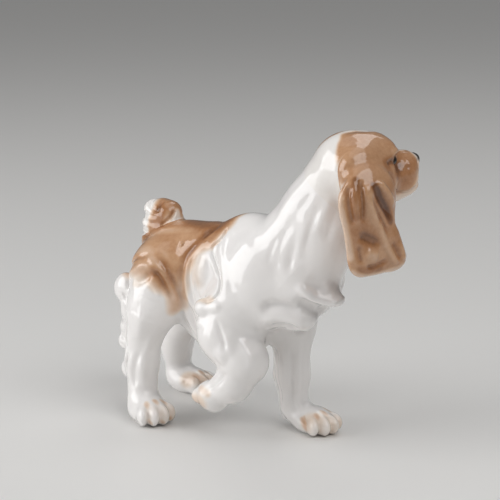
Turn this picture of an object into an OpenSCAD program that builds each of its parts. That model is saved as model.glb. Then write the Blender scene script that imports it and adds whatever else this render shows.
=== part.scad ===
// Standing spaniel figurine, slip cast in nine pieces and luted together before firing.
// X points where the chest points, Y to the dog's left, Z up, millimetres.
// The three soles stand on Z = 0 and the origin lies under the middle of the figure.

/* [Trunk] */
// Half width of the rib cage
rib_r = 20; // [17:0.5:22]
// Height of the line through the middle of the trunk
trunk_z = 74; // [72:0.5:76]
// Thickness of the cast wall round the hollow
wall_t = 4; // [3:0.5:6]
// Bore of the firing vent under the belly
vent_d = 3; // [2:0.5:5]

/* [Head] */
// How far the head turns to the dog's left, degrees
head_turn = 70; // [60:1:80]
// Half length of the skull
skull_r = 16.5; // [15:0.5:18]
// Middle of the skull to the front of the muzzle
muzzle_len = 31; // [28:0.5:34]

/* [Ears] */
// Drop of the ear from its root to its lower edge
ear_len = 46; // [42:0.5:48]
// Thickness of the leather of the ear against its width
ear_flat = 0.3; // [0.25:0.01:0.4]

/* [Legs] */
// Radius of the standing shanks just above the paws
shank_r = 7.2; // [6.5:0.1:8]
// Half width of a paw
paw_w = 9.5; // [8:0.5:10.5]
// Radius of the lifted wrist
wrist_r = 9; // [8:0.5:10]

/* [Tail] */
// Radius of the docked tail
tail_r = 8.5; // [7:0.5:10]
// Height of the tip of the tail
tail_top = 102; // [99:0.5:105]

/* [Hidden] */

$fn = 24;
white = [0.93, 0.92, 0.91];
tan = [0.70, 0.53, 0.38];

origin_shift = [-5, -0.8, 0];
skull = [60.5, 6, 130.5];
fwd = [cos(head_turn), sin(head_turn), 0];
side = [-sin(head_turn), cos(head_turn), 0];
neck_low = [24, 0, 86];
neck_mid = [41, 2, 109];
neck_seam = [50, 4, 118];
neck_tilt = [0, 38, 11];

// a point given in the head's own frame: forward, left, up from the middle of the skull
function on_head(p) = skull + p[0] * fwd + p[1] * side + [0, 0, p[2]];

module ball(p, r, turn = [0, 0, 0])
{
    translate(p) rotate(turn) scale(r) sphere(r = 1);
}

// tapered stick with round ends
module stick(p, q, rp, rq)
{
    hull()
    {
        translate(p) sphere(r = rp);
        translate(q) sphere(r = rq);
    }
}

// disc of ear leather, flattened across the way it faces
module leather(p, r, face, flat)
{
    translate(p) rotate([face[0], 0, face[1]]) scale([1, flat, 1]) sphere(r = r);
}

module head_ball(p, r)
{
    ball(on_head(p), r, [0, 0, head_turn]);
}

module rib_cage()
{
    ball([12, 0, trunk_z], [27, rib_r, 25]);
}

module loin()
{
    ball([-14, 0, trunk_z + 2], [24, rib_r - 1, 20]);
}

module trunk_clay()
{
    hull()
    {
        rib_cage();
        loin();
    }
    hull()
    {
        loin();
        ball([-38, 0, trunk_z - 1], [21.5, rib_r - 0.5, 20.5]);
    }
    hull()
    {
        ball([6, 0, 86], [17, 13, 16]);
        ball([14, 0, 82], [17, 15, 16]);
    }
    hull()
    {
        rib_cage();
        ball([30, 1, trunk_z - 1], [19, rib_r - 1, 19]);
    }
    // feathering under the belly
    hull()
    {
        ball([-10, -2, 60], [22, 15, 15], [0, 12, 0]);
        ball([0, -3, 50], [17, 14, 15], [0, 15, 0]);
    }
    // pointed tuft on the chest
    stick([38, 0, 77], [56, -1, 69.5], 12, 3);
    stick([-37, -4, 57], [-14, -4, 44], 9, 10);
}

module neck_clay()
{
    stick(neck_low, neck_mid, 19, 15);
    stick(neck_mid, skull - [6, 1.5, 1], 15, 14.5);
    stick([40, 1, 82], [53, 3, 106], 14, 13);
}

module skull_clay()
{
    hull()
    {
        head_ball([0, 0, 0], [skull_r, 14.5, 15]);
        head_ball([9, 5, 6], [6.5, 6.5, 6.5]);
        head_ball([9, -5, 6], [6.5, 6.5, 6.5]);
    }
    hull()
    {
        head_ball([5, 9, -6], [10, 6, 9]);
        head_ball([5, -9, -6], [10, 6, 9]);
    }
    // muzzle, flews, chin and nose
    stick(on_head([8, 0, -3]), on_head([muzzle_len - 9, 0, -4]), 9, 8);
    stick(on_head([11, 0, 1.4]), on_head([muzzle_len - 6, 0, -1]), 6.4, 5.2);
    head_ball([muzzle_len - 6.5, 0, -3.5], [6.5, 7.5, 7.5]);
    head_ball([muzzle_len - 11, 4, -10], [9, 4.5, 6]);
    head_ball([muzzle_len - 11, -4, -10], [9, 4.5, 6]);
    stick(on_head([4, 0, -11]), on_head([muzzle_len - 13, 0, -13]), 7, 4.5);
    head_ball([muzzle_len - 1, 0, 0], [2.6, 3.6, 3]);
}

module ear_right_clay(grow = 0)
{
    turn = [12, head_turn];
    drop = ear_len - 12;
    flat = ear_flat + grow / 26;
    hull()
    {
        leather(on_head([-8, -12, 0]), 7.5 + grow, turn, flat + 0.2);
        leather(on_head([-6.5, -17, -12]), 12.5 + grow, turn, flat + 0.1);
    }
    hull()
    {
        leather(on_head([-6.5, -17, -12]), 12.5 + grow, turn, flat + 0.1);
        leather(on_head([-4.5, -18.5, -drop + 3]), 13 + grow, turn, flat);
    }
    hull()
    {
        leather(on_head([-9, -19, -drop - 5.5]), 6.5 + grow, turn, flat + 0.15);
        leather(on_head([6.5, -19, -drop - 4.5]), 6.5 + grow, turn, flat + 0.15);
    }
}

module ear_left_clay(grow = 0)
{
    turn = [-8, 14];
    flat = ear_flat + grow / 26;
    hull()
    {
        leather([48, 10, 130.5], 7 + grow, turn, flat + 0.2);
        leather([45, 16.5, 119], 11 + grow, turn, flat + 0.1);
    }
    hull()
    {
        leather([45, 16.5, 119], 11 + grow, turn, flat + 0.1);
        leather([40, 20, 134 - ear_len + 14], 13 + grow, turn, flat);
    }
}

// knobs of feathering, each [x, y, z, radius]
module knobs(list)
{
    for (i = [0 : len(list) - 2])
    {
        k = list[i];
        n = list[i + 1];
        stick([k[0], k[1], k[2]], [n[0], n[1], n[2]], k[3], n[3] * 0.75);
    }
}

module foreleg_right_clay()
{
    ball([14, -13, 70], [15, 11, 22], [0, 8, 0]);
    stick([6, -16, 60], [4, -18, 49], 13, 12);
    stick([4, -18, 49], [14, -18, 39], 12, wrist_r + 2.5);
    stick([17, -18, 36.5], [10, -20, 26], wrist_r, wrist_r - 1.2);
    stick([10, -20, 26], [-3, -23, 19], wrist_r - 1.2, wrist_r - 2);
    knobs([[-3.5, -25, 61, 4.3], [-2.5, -26, 55, 3.6], [4, -27, 49, 4], [8, -27.5, 43, 3.6]]);
}

module foreleg_left_clay()
{
    stick([22, 11, 70], [19, 12, 50], 14, 10.5);
    stick([19, 12, 50], [19.5, 12.5, 26], 10.5, 7.5);
    stick([19.5, 12.5, 26], [19, 13, 9], 7.5, shank_r);
    ball([31, 13.5, 5.5], [13, paw_w, 7], [0, 0, -12]);
    knobs([[12, 12, 46, 3.5], [11.5, 13, 24, 3.5], [15.5, 12, 6, 2.5]]);
}

module hind_leg_right_clay()
{
    stick([-40, -11, 70], [-43, -19, 50], 17, 10.5);
    stick([-43, -19, 50], [-45.5, -21, 38], 10.5, 7.8);
    stick([-45.5, -21, 38], [-43.5, -24, 10], 7.8, shank_r);
    ball([-38, -25.5, 6], [12.5, paw_w, 7.5], [0, 0, -20]);
    knobs([[-58.5, -18, 65, 5.5], [-59, -18, 59, 6.5], [-54, -19, 50, 6], [-55.5, -20, 42, 5.5],
           [-55.5, -20.5, 34, 5], [-51, -23, 26, 4.5], [-52, -23, 20, 4.5]]);
}

module hind_leg_left_clay()
{
    stick([-45, 11, 68], [-47, 17, 50], 16, 11.5);
    stick([-47, 17, 50], [-63, 23, 29], 11.5, 7.5);
    stick([-63, 23, 29], [-64, 24, 10], 7.5, shank_r - 0.5);
    ball([-57, 24.4, 6], [12.5, paw_w - 0.5, 7.5], [0, 0, 6]);
    knobs([[-61, 17, 63, 5], [-60, 18, 54, 5], [-63, 20, 46, 5], [-67, 21, 39, 5], [-70, 22.5, 31, 4.5],
           [-70, 23.5, 22, 4.5]]);
}

module tail_clay()
{
    stick([-54, 0, 82], [-51, 0, tail_top - tail_r], tail_r + 0.5, tail_r);
    stick([-51, 0, 88], [-45, 0, tail_top - 8], tail_r - 2, 6);
}

// the whole figure as one lump, before the pieces are parted
module clay()
{
    trunk_clay();
    neck_clay();
    skull_clay();
    ear_right_clay();
    ear_left_clay();
    foreleg_right_clay();
    foreleg_left_clay();
    hind_leg_right_clay();
    hind_leg_left_clay();
    tail_clay();
}

// where each piece is parted from its neighbour
module head_zone()
{
    translate(neck_seam) rotate(neck_tilt) translate([0, 0, 60]) cube([140, 140, 120], center = true);
}

module foreleg_right_zone()
{
    translate([-14, -60, -5]) cube([56, 50, 61]);
}

module foreleg_left_zone()
{
    translate([10, 2, -5]) cube([45, 40, 55]);
}

module hind_leg_right_zone()
{
    translate([0, -8.5, 0]) rotate([90, 0, 0]) linear_extrude(51.5)
        polygon([[-90, -5], [-20, -5], [-20, 20], [-27, 26], [-27, 48], [-90, 48]]);
}

module hind_leg_left_zone()
{
    translate([-90, 5, -5]) cube([63, 53, 53]);
}

module tail_zone()
{
    translate([-50, 0, 89]) rotate([0, -27, 0]) translate([-6, 0, 15]) cube([52, 40, 30], center = true);
}

module below_floor()
{
    translate([-150, -150, -60]) cube([300, 300, 60]);
}

// hollow left by the slip when the mould is drained
module hollow()
{
    t = wall_t;
    $fn = 16;
    ball([12, 0, trunk_z], [27 - t, rib_r - t, 25 - t]);
    ball([-14, 0, trunk_z + 2], [30 - t, rib_r - 1 - t, 20 - t]);
    ball([-38, 0, trunk_z - 1], [21.5 - t, rib_r - 0.5 - t, 20.5 - t]);
    ball([28, 1, trunk_z - 1], [16 - t, rib_r - 2 - t, 18 - t]);
    stick(neck_low, neck_mid, 18.5 - t, 14.5 - t);
    stick(neck_mid, skull - [4, 1, 2], 14.5 - t, 13.5 - t);
}

module vent()
{
    translate([-12, 0, 30]) cylinder(d = vent_d, h = 40, $fn = 24);
}

module torso()
{
    color(white) translate(origin_shift) difference()
    {
        clay();
        head_zone();
        ear_right_clay(2.5);
        ear_left_clay(2.5);
        foreleg_right_zone();
        foreleg_left_zone();
        hind_leg_right_zone();
        hind_leg_left_zone();
        tail_zone();
        hollow();
        vent();
    }
}

module head()
{
    color(tan) translate(origin_shift) difference()
    {
        intersection()
        {
            clay();
            head_zone();
        }
        ear_right_clay(2.5);
        ear_left_clay(2.5);
        hollow();
    }
}

module ear_right()
{
    color(tan) translate(origin_shift) difference()
    {
        intersection()
        {
            clay();
            ear_right_clay(2.5);
        }
        hollow();
    }
}

module ear_left()
{
    color(tan) translate(origin_shift) difference()
    {
        intersection()
        {
            clay();
            ear_left_clay(2.5);
        }
        hollow();
    }
}

module foreleg_right()
{
    color(white) translate(origin_shift) intersection()
    {
        clay();
        foreleg_right_zone();
    }
}

module foreleg_left()
{
    color(white) translate(origin_shift) difference()
    {
        intersection()
        {
            clay();
            foreleg_left_zone();
        }
        below_floor();
    }
}

module hind_leg_right()
{
    color(white) translate(origin_shift) difference()
    {
        intersection()
        {
            clay();
            hind_leg_right_zone();
        }
        below_floor();
    }
}

module hind_leg_left()
{
    color(white) translate(origin_shift) difference()
    {
        intersection()
        {
            clay();
            hind_leg_left_zone();
        }
        below_floor();
    }
}

module tail()
{
    color(tan) translate(origin_shift) difference()
    {
        intersection()
        {
            clay();
            tail_zone();
        }
        hollow();
    }
}

torso();
head();
ear_right();
ear_left();
foreleg_right();
foreleg_left();
hind_leg_right();
hind_leg_left();
tail();
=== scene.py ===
from math import radians

import bmesh
import bpy
import numpy as np
from mathutils import Euler, Matrix, Vector


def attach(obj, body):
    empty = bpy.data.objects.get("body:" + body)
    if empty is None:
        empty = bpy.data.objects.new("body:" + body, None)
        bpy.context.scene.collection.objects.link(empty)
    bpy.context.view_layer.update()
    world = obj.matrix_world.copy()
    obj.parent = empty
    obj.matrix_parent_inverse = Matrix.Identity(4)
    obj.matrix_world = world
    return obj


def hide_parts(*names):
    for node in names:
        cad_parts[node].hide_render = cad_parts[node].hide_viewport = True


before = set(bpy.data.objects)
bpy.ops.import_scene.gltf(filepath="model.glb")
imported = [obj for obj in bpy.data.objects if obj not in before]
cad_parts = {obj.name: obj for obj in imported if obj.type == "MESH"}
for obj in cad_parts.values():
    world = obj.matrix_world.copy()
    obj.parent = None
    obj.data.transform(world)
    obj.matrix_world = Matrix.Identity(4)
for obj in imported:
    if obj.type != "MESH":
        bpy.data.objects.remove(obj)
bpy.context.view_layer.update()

# The figure is modelled the way it was made: lumps of clay pressed together, smoothed, combed with
# hair, then parted where the castings were luted. Clay is given in millimetres, X towards the chest,
# Y to the dog's left, Z up, and is shifted at the end to the part's own origin.
SHIFT = np.array((-5.0, -0.8, 0.0))
EMPTY = 30.0                         # depth given to places far from all clay
ROUGH_GRAIN = 1.6                    # facets of the lumps before the hair is combed in
GRAIN = 0.6   # facets of the finished mesh
MM = 0.001
PROBE = (0.8, 1.6, 2.4, 3.2, 4.0)    # depths at which the thickness of the clay is felt


# ---------------- clay and tools

def turned(x, y, z):
    return np.array(Euler((radians(x), radians(y), radians(z))).to_matrix())


def melt(a, b, reach):
    """Two lumps pressed together with a fillet of about this reach."""
    h = np.clip(0.5 + 0.5 * (a - b) / reach, 0, 1)
    return a * (1 - h) + b * h - reach * h * (1 - h)


def ball(at, size, reach=6.0, turn=(0, 0, 0), dig=False):
    size = np.array((size,) * 3 if np.isscalar(size) else size, float)
    return {"kind": "ball", "at": np.array(at, float), "size": size, "turn": turned(*turn),
            "reach": reach, "dig": dig, "mid": np.array(at, float), "span": size.max()}


def stick(a, b, ra, rb=None, reach=5.0, flat=None, dig=False):
    """A tapered roll of clay from a to b; flat=(direction, amount) rolls it thinner that way."""
    a, b = np.array(a, float), np.array(b, float)
    rb = ra if rb is None else rb
    if flat is not None:
        across = np.array(flat[0], float)
        flat = (across / np.linalg.norm(across), flat[1])
    return {"kind": "stick", "a": a, "b": b, "ra": ra, "rb": rb, "reach": reach, "flat": flat,
            "dig": dig, "mid": (a + b) / 2, "span": np.linalg.norm(b - a) / 2 + max(ra, rb)}


def roll(points, reach=5.0, flat=None):
    return [stick(p[:3], q[:3], p[3], q[3], reach, flat) for p, q in zip(points, points[1:])]


def flowing(points, steps=3):
    """The drawn points joined by one smooth line."""
    p = np.vstack([2 * points[0] - points[1], points, 2 * points[-1] - points[-2]])
    out = []
    for a, b, c, d in zip(p, p[1:], p[2:], p[3:]):
        for t in np.arange(steps) / steps:
            out.append(b + 0.5 * t * (c - a + t * (2 * a - 5 * b + 4 * c - d + t * (3 * (b - c) + d - a))))
    return np.array(out + [points[-1]])


def comb(points, width, rise, ends=0.25):
    """A lock of hair (rise above 0) or a furrow between locks, drawn along the skin."""
    return {"points": flowing(np.array(points, float)), "width": width, "rise": rise, "ends": ends}


def laid_on_skin(line, clay):
    """The same line on the skin of the uncombed clay; a furrow never cuts through a thin part."""
    points = press_to_form(line["points"], clay, [], rounds=4, step=0.4, most=3.0)
    reach = 2.5 * line["width"]
    rise = np.full(len(points), float(line["rise"]))
    if line["rise"] < 0:
        out = slope(points, 0.4, clay, [])
        out /= np.maximum(np.linalg.norm(out, axis=1), 1e-6)[:, None]
        thick = -np.min([form(points - out * k, clay, []) for k in PROBE], axis=0)
        rise = np.maximum(rise, -0.75 * np.maximum(thick, 0.2))
    return dict(line, points=points, rise=rise, low=points.min(0) - reach, high=points.max(0) + reach)


def how_far(lump, at):
    """Distance from one lump, below 0 inside it."""
    if lump["kind"] == "ball":
        q = (at - lump["at"]) @ lump["turn"]
        k0 = np.sqrt(((q / lump["size"]) ** 2).sum(1))
        k1 = np.sqrt(((q / lump["size"] ** 2) ** 2).sum(1))
        return k0 * (k0 - 1) / np.maximum(k1, 1e-9)
    q, along = at - lump["a"], lump["b"] - lump["a"]
    if lump["flat"] is not None:
        across, amount = lump["flat"]
        q = q + np.outer((q @ across) * (1 / amount - 1), across)
        along = along + (along @ across) * (1 / amount - 1) * across
    t = np.clip(q @ along / max(along @ along, 1e-9), 0, 1)
    gap = np.sqrt(((q - np.outer(t, along)) ** 2).sum(1)) - (lump["ra"] + (lump["rb"] - lump["ra"]) * t)
    return gap if lump["flat"] is None else gap * max(lump["flat"][1], 0.6)


def along_line(points, at):
    """Distance to a drawn line, and how far along it the nearest place is, from 0 to 1."""
    best, where = np.full(len(at), 1e9), np.zeros(len(at))
    steps = np.linalg.norm(np.diff(points, axis=0), axis=1)
    total, done = steps.sum(), 0.0
    for p, q, step in zip(points, points[1:], steps):
        t = np.clip((at - p) @ (q - p) / max(step * step, 1e-9), 0, 1)
        gap = np.sqrt((((at - p) - np.outer(t, q - p)) ** 2).sum(1))
        near = gap < best
        best[near], where[near] = gap[near], (done + t[near] * step) / total
        done += step
    return best, where


def form(at, clay, combing):
    """Signed distance from the skin of the figure, in millimetres."""
    order = np.argsort(at[:, 2])
    p = at[order]
    depth = np.full(len(p), EMPTY)
    for lump in clay:
        reach = lump["span"] + lump["reach"] + 6
        lo, hi = np.searchsorted(p[:, 2], (lump["mid"][2] - reach, lump["mid"][2] + reach))
        near = np.flatnonzero(((p[lo:hi] - lump["mid"]) ** 2).sum(1) < reach * reach) + lo
        if len(near):
            gap = how_far(lump, p[near])
            depth[near] = -melt(-depth[near], gap, lump["reach"]) if lump["dig"] \
                else melt(depth[near], gap, lump["reach"])
    plain = depth.copy()
    for line in combing:
        lo, hi = np.searchsorted(p[:, 2], (line["low"][2], line["high"][2]))
        across = p[lo:hi, :2]
        near = np.flatnonzero(((across > line["low"][:2]) & (across < line["high"][:2])).all(1)) + lo
        if len(near):
            gap, where = along_line(line["points"], p[near])
            # measured along the skin, so that a lock or furrow has steep walls and never folds over
            deep = plain[near] if line["rise"].max() <= 0 else np.minimum(plain[near], 0)
            beside = np.maximum(gap * gap - deep * deep, 0)
            fade = np.clip(np.minimum(where, 1 - where) / max(line["ends"], 1e-6), 0, 1)
            rise = np.interp(where, np.linspace(0, 1, len(line["rise"])), line["rise"])
            depth[near] -= rise * fade * fade * (3 - 2 * fade) * np.exp(-beside / line["width"] ** 2)
    out = np.empty(len(p))
    out[order] = depth
    return out


CORNERS = np.array(((1, -1, -1), (-1, -1, 1), (-1, 1, -1), (1, 1, 1)), float)


def slope(at, step, clay, combing):
    """Outward direction of the skin."""
    out = np.zeros_like(at)
    for corner in CORNERS:
        out += corner * form(at + corner * step, clay, combing)[:, None]
    return out / (4 * step)


def press_to_form(at, clay, combing, rounds, step=0.25, most=2.0):
    """Moves mesh points onto the skin."""
    for _ in range(rounds):
        gap = form(at, clay, combing)
        way = slope(at, step, clay, combing)
        size = np.maximum((way ** 2).sum(1), 0.05)
        at = at - way * np.clip(gap / size, -most, most)[:, None]
    return at


# ---------------- the dog in clay

SKULL = np.array((60.5, 6.0, 130.5))
HEAD_TURN = 70
AHEAD = turned(0, 0, HEAD_TURN)


def on_head(x, y, z):
    """A point in the head's own frame: towards the nose, to its left, up."""
    return tuple(SKULL + AHEAD @ np.array((x, y, z), float))


def head_ball(at, size, reach=6.0, tilt=0.0, dig=False):
    return ball(on_head(*at), size, reach, (0, tilt, HEAD_TURN), dig)


def head_comb(points, width, rise, ends=0.25):
    return comb([on_head(*p) for p in points], width, rise, ends)


def trunk():
    return [
        ball((12, 0, 74), (27, 20, 25)), ball((-14, 0, 76), (30, 19, 20), 8),
        ball((-38, 0, 73), (21.5, 19.5, 20.5), 8), ball((6, 0, 87), (17, 13, 15.5), 8),
        ball((30, 1, 73), (18.5, 19, 18.5)),
        # belly feathering
        ball((-10, -2, 60), (22, 15, 15), 8, (0, 12, 0)), ball((0, -3, 50), (17, 14, 15), 8, (0, 15, 0)),
        stick((-37, -4, 57), (-14, -4, 44), 9, 10, 7),
        # neck and throat
        stick((24, 0, 86), (41, 2, 109), 18.5, 14.5, 6),
        stick((41, 2, 109), (54.5, 4.5, 129.5), 15, 14.5, 5),
        stick((40, 1, 82), (53, 3, 106), 14, 13, 7),
        # tuft on the chest and the roll under it
        stick((37, -3, 78), (56, -1.5, 70.5), 12.5, 3.1, 4, ((-0.2, 0.1, 1), 0.75)),
        stick((41, -7, 73), (55, -3, 68.8), 7, 2.4, 3, ((0, 0.2, 1), 0.6)),
        stick((27, -12, 61), (40, -6, 60.5), 5.5, 6.5, 4),
    ]


def head():
    lumps = [
        head_ball((0, 0, 0), (16.5, 14.5, 15)), head_ball((8, 0, 7), (8, 9, 6.5), 5),
        head_ball((9.5, 6, 5.5), (6, 5.5, 5.5), 3), head_ball((9.5, -6, 5.5), (6, 5.5, 5.5), 3),
        # muzzle, square at the end
        stick(on_head(9, 0, -3), on_head(21, 0, -4), 9, 7.8, 3),
        stick(on_head(11, 0, 1.4), on_head(25, 0, -1), 6.4, 5.2, 2.5),
        head_ball((24.5, 0, -3.3), (6.3, 7.3, 7.2), 3),
        # flews, cheeks, chin
        head_ball((20, 4.2, -9.5), (9.5, 4.6, 6.2), 3), head_ball((20, -4.2, -9.5), (9.5, 4.6, 6.2), 3),
        head_ball((5, 8.5, -6), (10, 6, 9), 5), head_ball((5, -8.5, -6), (10, 6, 9), 5),
        stick(on_head(4, 0, -11), on_head(19, 0, -14), 7, 4.2, 3.5),
        # nose pad
        head_ball((29.8, 0, 0.6), (2.4, 3.6, 2.6), 1.8),
        head_ball((31.8, 1.9, 0.6), (1.5, 0.9, 0.8), 0.8, dig=True),
        head_ball((31.8, -1.9, 0.6), (1.5, 0.9, 0.8), 0.8, dig=True),
    ]
    for s in (-1, 1):
        # eye socket, eyeball and lids
        lumps += [
            head_ball((14.8, s * 10, 2.2), (3.2, 3.0, 2.6), 3.2, dig=True),
            head_ball((12, s * 8.0, 2.4), (2.8, 2.8, 2.5), 1.0),
        ]
    return lumps


def ear_right():
    face = AHEAD @ np.array((0, 1, 0.14))
    return [
        stick(on_head(-8, -12, 0.5), on_head(-6.5, -17, -12), 7, 12.5, 8, (face, 0.6)),
        stick(on_head(-6.5, -17, -12), on_head(-4.5, -18.5, -30), 12.5, 12.8, 4, (face, 0.33)),
        stick(on_head(-9, -18.8, -39.5), on_head(4, -18.5, -38.5), 6.4, 6.6, 4, (face, 0.5)),
        stick(on_head(4.5, -18.8, -30), on_head(8, -19, -39), 4.2, 4.8, 3, (face, 0.75)),
    ]


def ear_left():
    face = (-0.25, 0.95, 0.12)
    return [
        stick((48, 10, 131), (45.5, 16.5, 119), 7, 11.5, 5, (face, 0.6)),
        stick((45.5, 16.5, 119), (41, 20, 102), 11.5, 12.5, 4, (face, 0.34)),
        stick((46, 19, 93), (34, 20.5, 95), 6.2, 6.2, 4, (face, 0.5)),
    ]


def paw(at, heading, length, width, height, spread=1.0):
    """A standing paw: pad and four toes, heading in degrees."""
    out = [ball(at, (length, width, height), 4, (0, 0, heading))]
    way = turned(0, 0, heading)
    for side, ahead in ((-0.7, 0.58), (-0.25, 0.8), (0.25, 0.8), (0.7, 0.56)):
        toe = np.array(at) + way @ np.array((ahead * length, side * width * spread, -0.06 * height))
        out.append(ball(toe, (length * 0.4, width * 0.3, height * 0.66), 1.6,
                        (0, 0, heading + side * 22)))
    return out


def foreleg_right():
    return [ball((14, -13, 70), (15, 11, 22), 7, (0, 8, 0))] + \
        roll([(6, -16, 60, 13), (4, -18, 49, 12), (14, -18, 39, 11.5)], 6) + \
        roll([(17, -18, 36.5, 9), (10, -20, 26, 7.8), (1, -22, 20.5, 6.6)], 4) + [
            # lifted paw
            ball((-1, -22.5, 18.5), (8, 6.6, 6.2), 3, (0, 35, 10)),
            ball((-6.5, -25.5, 18.6), (3.6, 2.3, 3.4), 1.4, (0, 35, 10)),
            ball((-7.5, -22.6, 17), (3.8, 2.3, 3.4), 1.4, (0, 35, 10)),
            ball((-6.6, -19.8, 16.6), (3.6, 2.3, 3.2), 1.4, (0, 35, 10)),
            # knobs of feathering behind the elbow
            ball((-2.5, -25.5, 61.5), (5, 4.4, 4.4), 1.8),
            stick((-1, -26, 61.5), (7, -27.5, 64), 3.2, 1.4, 2.5),
            ball((-1.5, -26.5, 54.6), (4, 3.4, 3.4), 1.4),
            ball((5, -27.5, 49.5), (5.2, 3.6, 5.4), 1.6, (0, -35, 0)),
            ball((10.5, -27.5, 42.5), (3.8, 3.4, 5), 1.6, (0, -30, 0)),
        ]


def foreleg_left():
    return roll([(22, 11, 70, 14), (19, 12, 50, 10.5), (19.5, 12.5, 26, 7.2), (20, 13, 10, 6.8)], 5) + \
        paw((30.5, 13.5, 5.2), -12, 12.6, 9.2, 6.6) + [
            # hair down the back of the leg
            stick((12, 12, 46), (11.5, 13, 24), 3.4, 3, 4),
            stick((11.5, 13, 24), (15.5, 12, 5), 3, 1.6, 3),
        ]


def hind_leg_right():
    return roll([(-40, -11, 70, 17), (-41, -16, 58, 13), (-43, -19, 50, 10.4), (-45.5, -20.5, 40, 8),
                 (-45.5, -22, 28, 7.4), (-43.5, -24, 12, 7.2)], 5) + \
        paw((-38.5, -25.5, 5.8), -22, 12.5, 9.4, 7.2) + [
            # fringe down the back of the thigh
            ball((-58.5, -18, 60.5), (7.6, 4.8, 7.8), 2.5, (0, 8, 0)),
            ball((-55, -19, 51), (5.8, 4.4, 6), 3), ball((-53, -19, 46), (6, 4, 7), 3),
            ball((-55.5, -20, 42.5), (5, 4, 4.6), 2), ball((-56.5, -20.5, 35.5), (5, 3.8, 4.6), 2),
            ball((-53, -23, 23), (4.2, 3.6, 5), 2),
        ]


def hind_leg_left():
    return roll([(-45, 11, 68, 16), (-47, 17, 50, 11.5), (-62, 22.5, 31, 7.4), (-64.5, 23.5, 22, 6.7),
                 (-64, 24, 10, 6.5)], 6) + \
        paw((-57, 24.4, 5.4), 6, 12, 8.8, 6.8) + [
            ball((-61, 17, 61), (5.4, 4.4, 6.8), 3), ball((-61, 19, 50.5), (5, 4.2, 5.6), 3),
            ball((-67, 21, 41), (5, 4, 5), 2), ball((-71, 22.5, 32), (4, 3.6, 4.8), 2),
            ball((-71, 23.5, 22), (3.6, 3.4, 4.4), 2),
        ]


def tail():
    return roll([(-54, 0, 82, 8.6), (-51.5, 0, 94.5, 8.4)], 4) + [
        ball((-45.5, -1, 96), (5.4, 6.4, 6.4), 3), ball((-57, -2, 91), (3.4, 5, 5), 2.5),
        ball((-56.5, -2, 98), (3, 4.6, 3.8), 2.5),
    ]


def mirrored(points):
    return [(x, -y, z) for x, y, z in points]


def both(points, width, rise, ends=0.25):
    """The same lock on the dog's right and left."""
    return [comb(points, width, rise, ends), comb(mirrored(points), width, rise, ends)]


def combing():
    return body_combing() + leg_combing() + head_combing() + ear_combing() + tail_combing()


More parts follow.
